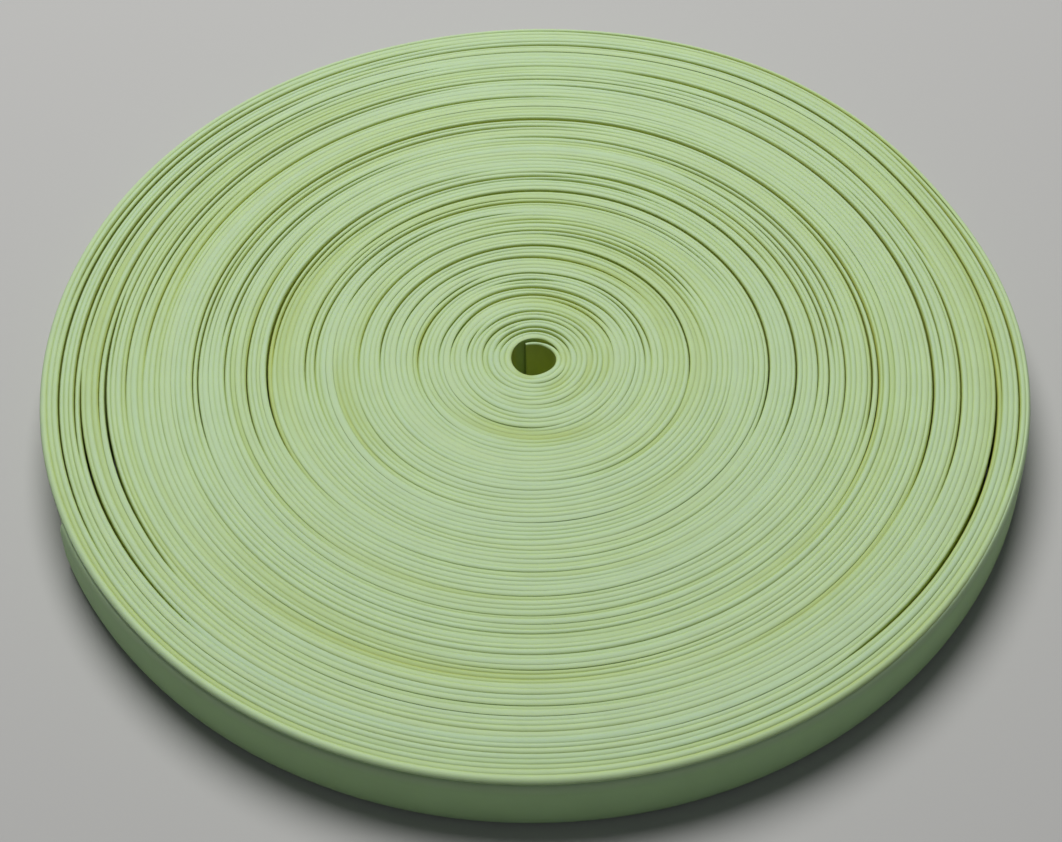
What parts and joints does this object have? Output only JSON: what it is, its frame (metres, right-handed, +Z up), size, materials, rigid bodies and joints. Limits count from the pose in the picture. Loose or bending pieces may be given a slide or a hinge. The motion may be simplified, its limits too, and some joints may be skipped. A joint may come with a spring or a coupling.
{
  "type": "soaker hose roll",
  "caption": "Length of thin-walled soaker hose pressed flat and wound on edge into a flat round roll, with both cut ends bare.",
  "frame": {"origin": "centre of the roll's footprint, on the ground that it lies on", "axes": "+Z up out of the roll, along the line that it is wound about; -Y towards the front; the outer cut end is at the front left, with the turns running clockwise and outwards seen from above"},
  "size_m": [0.351, 0.352, 0.0254],
  "materials": {
    "hose_plastic": "soft pale green plastic, matte, slightly translucent"
  },
  "bodies": {
    "root": {"hose_coil": "hose_plastic", "hose_outer_end": "hose_plastic", "hose_inner_end": "hose_plastic"}
  },
  "joints": []
}
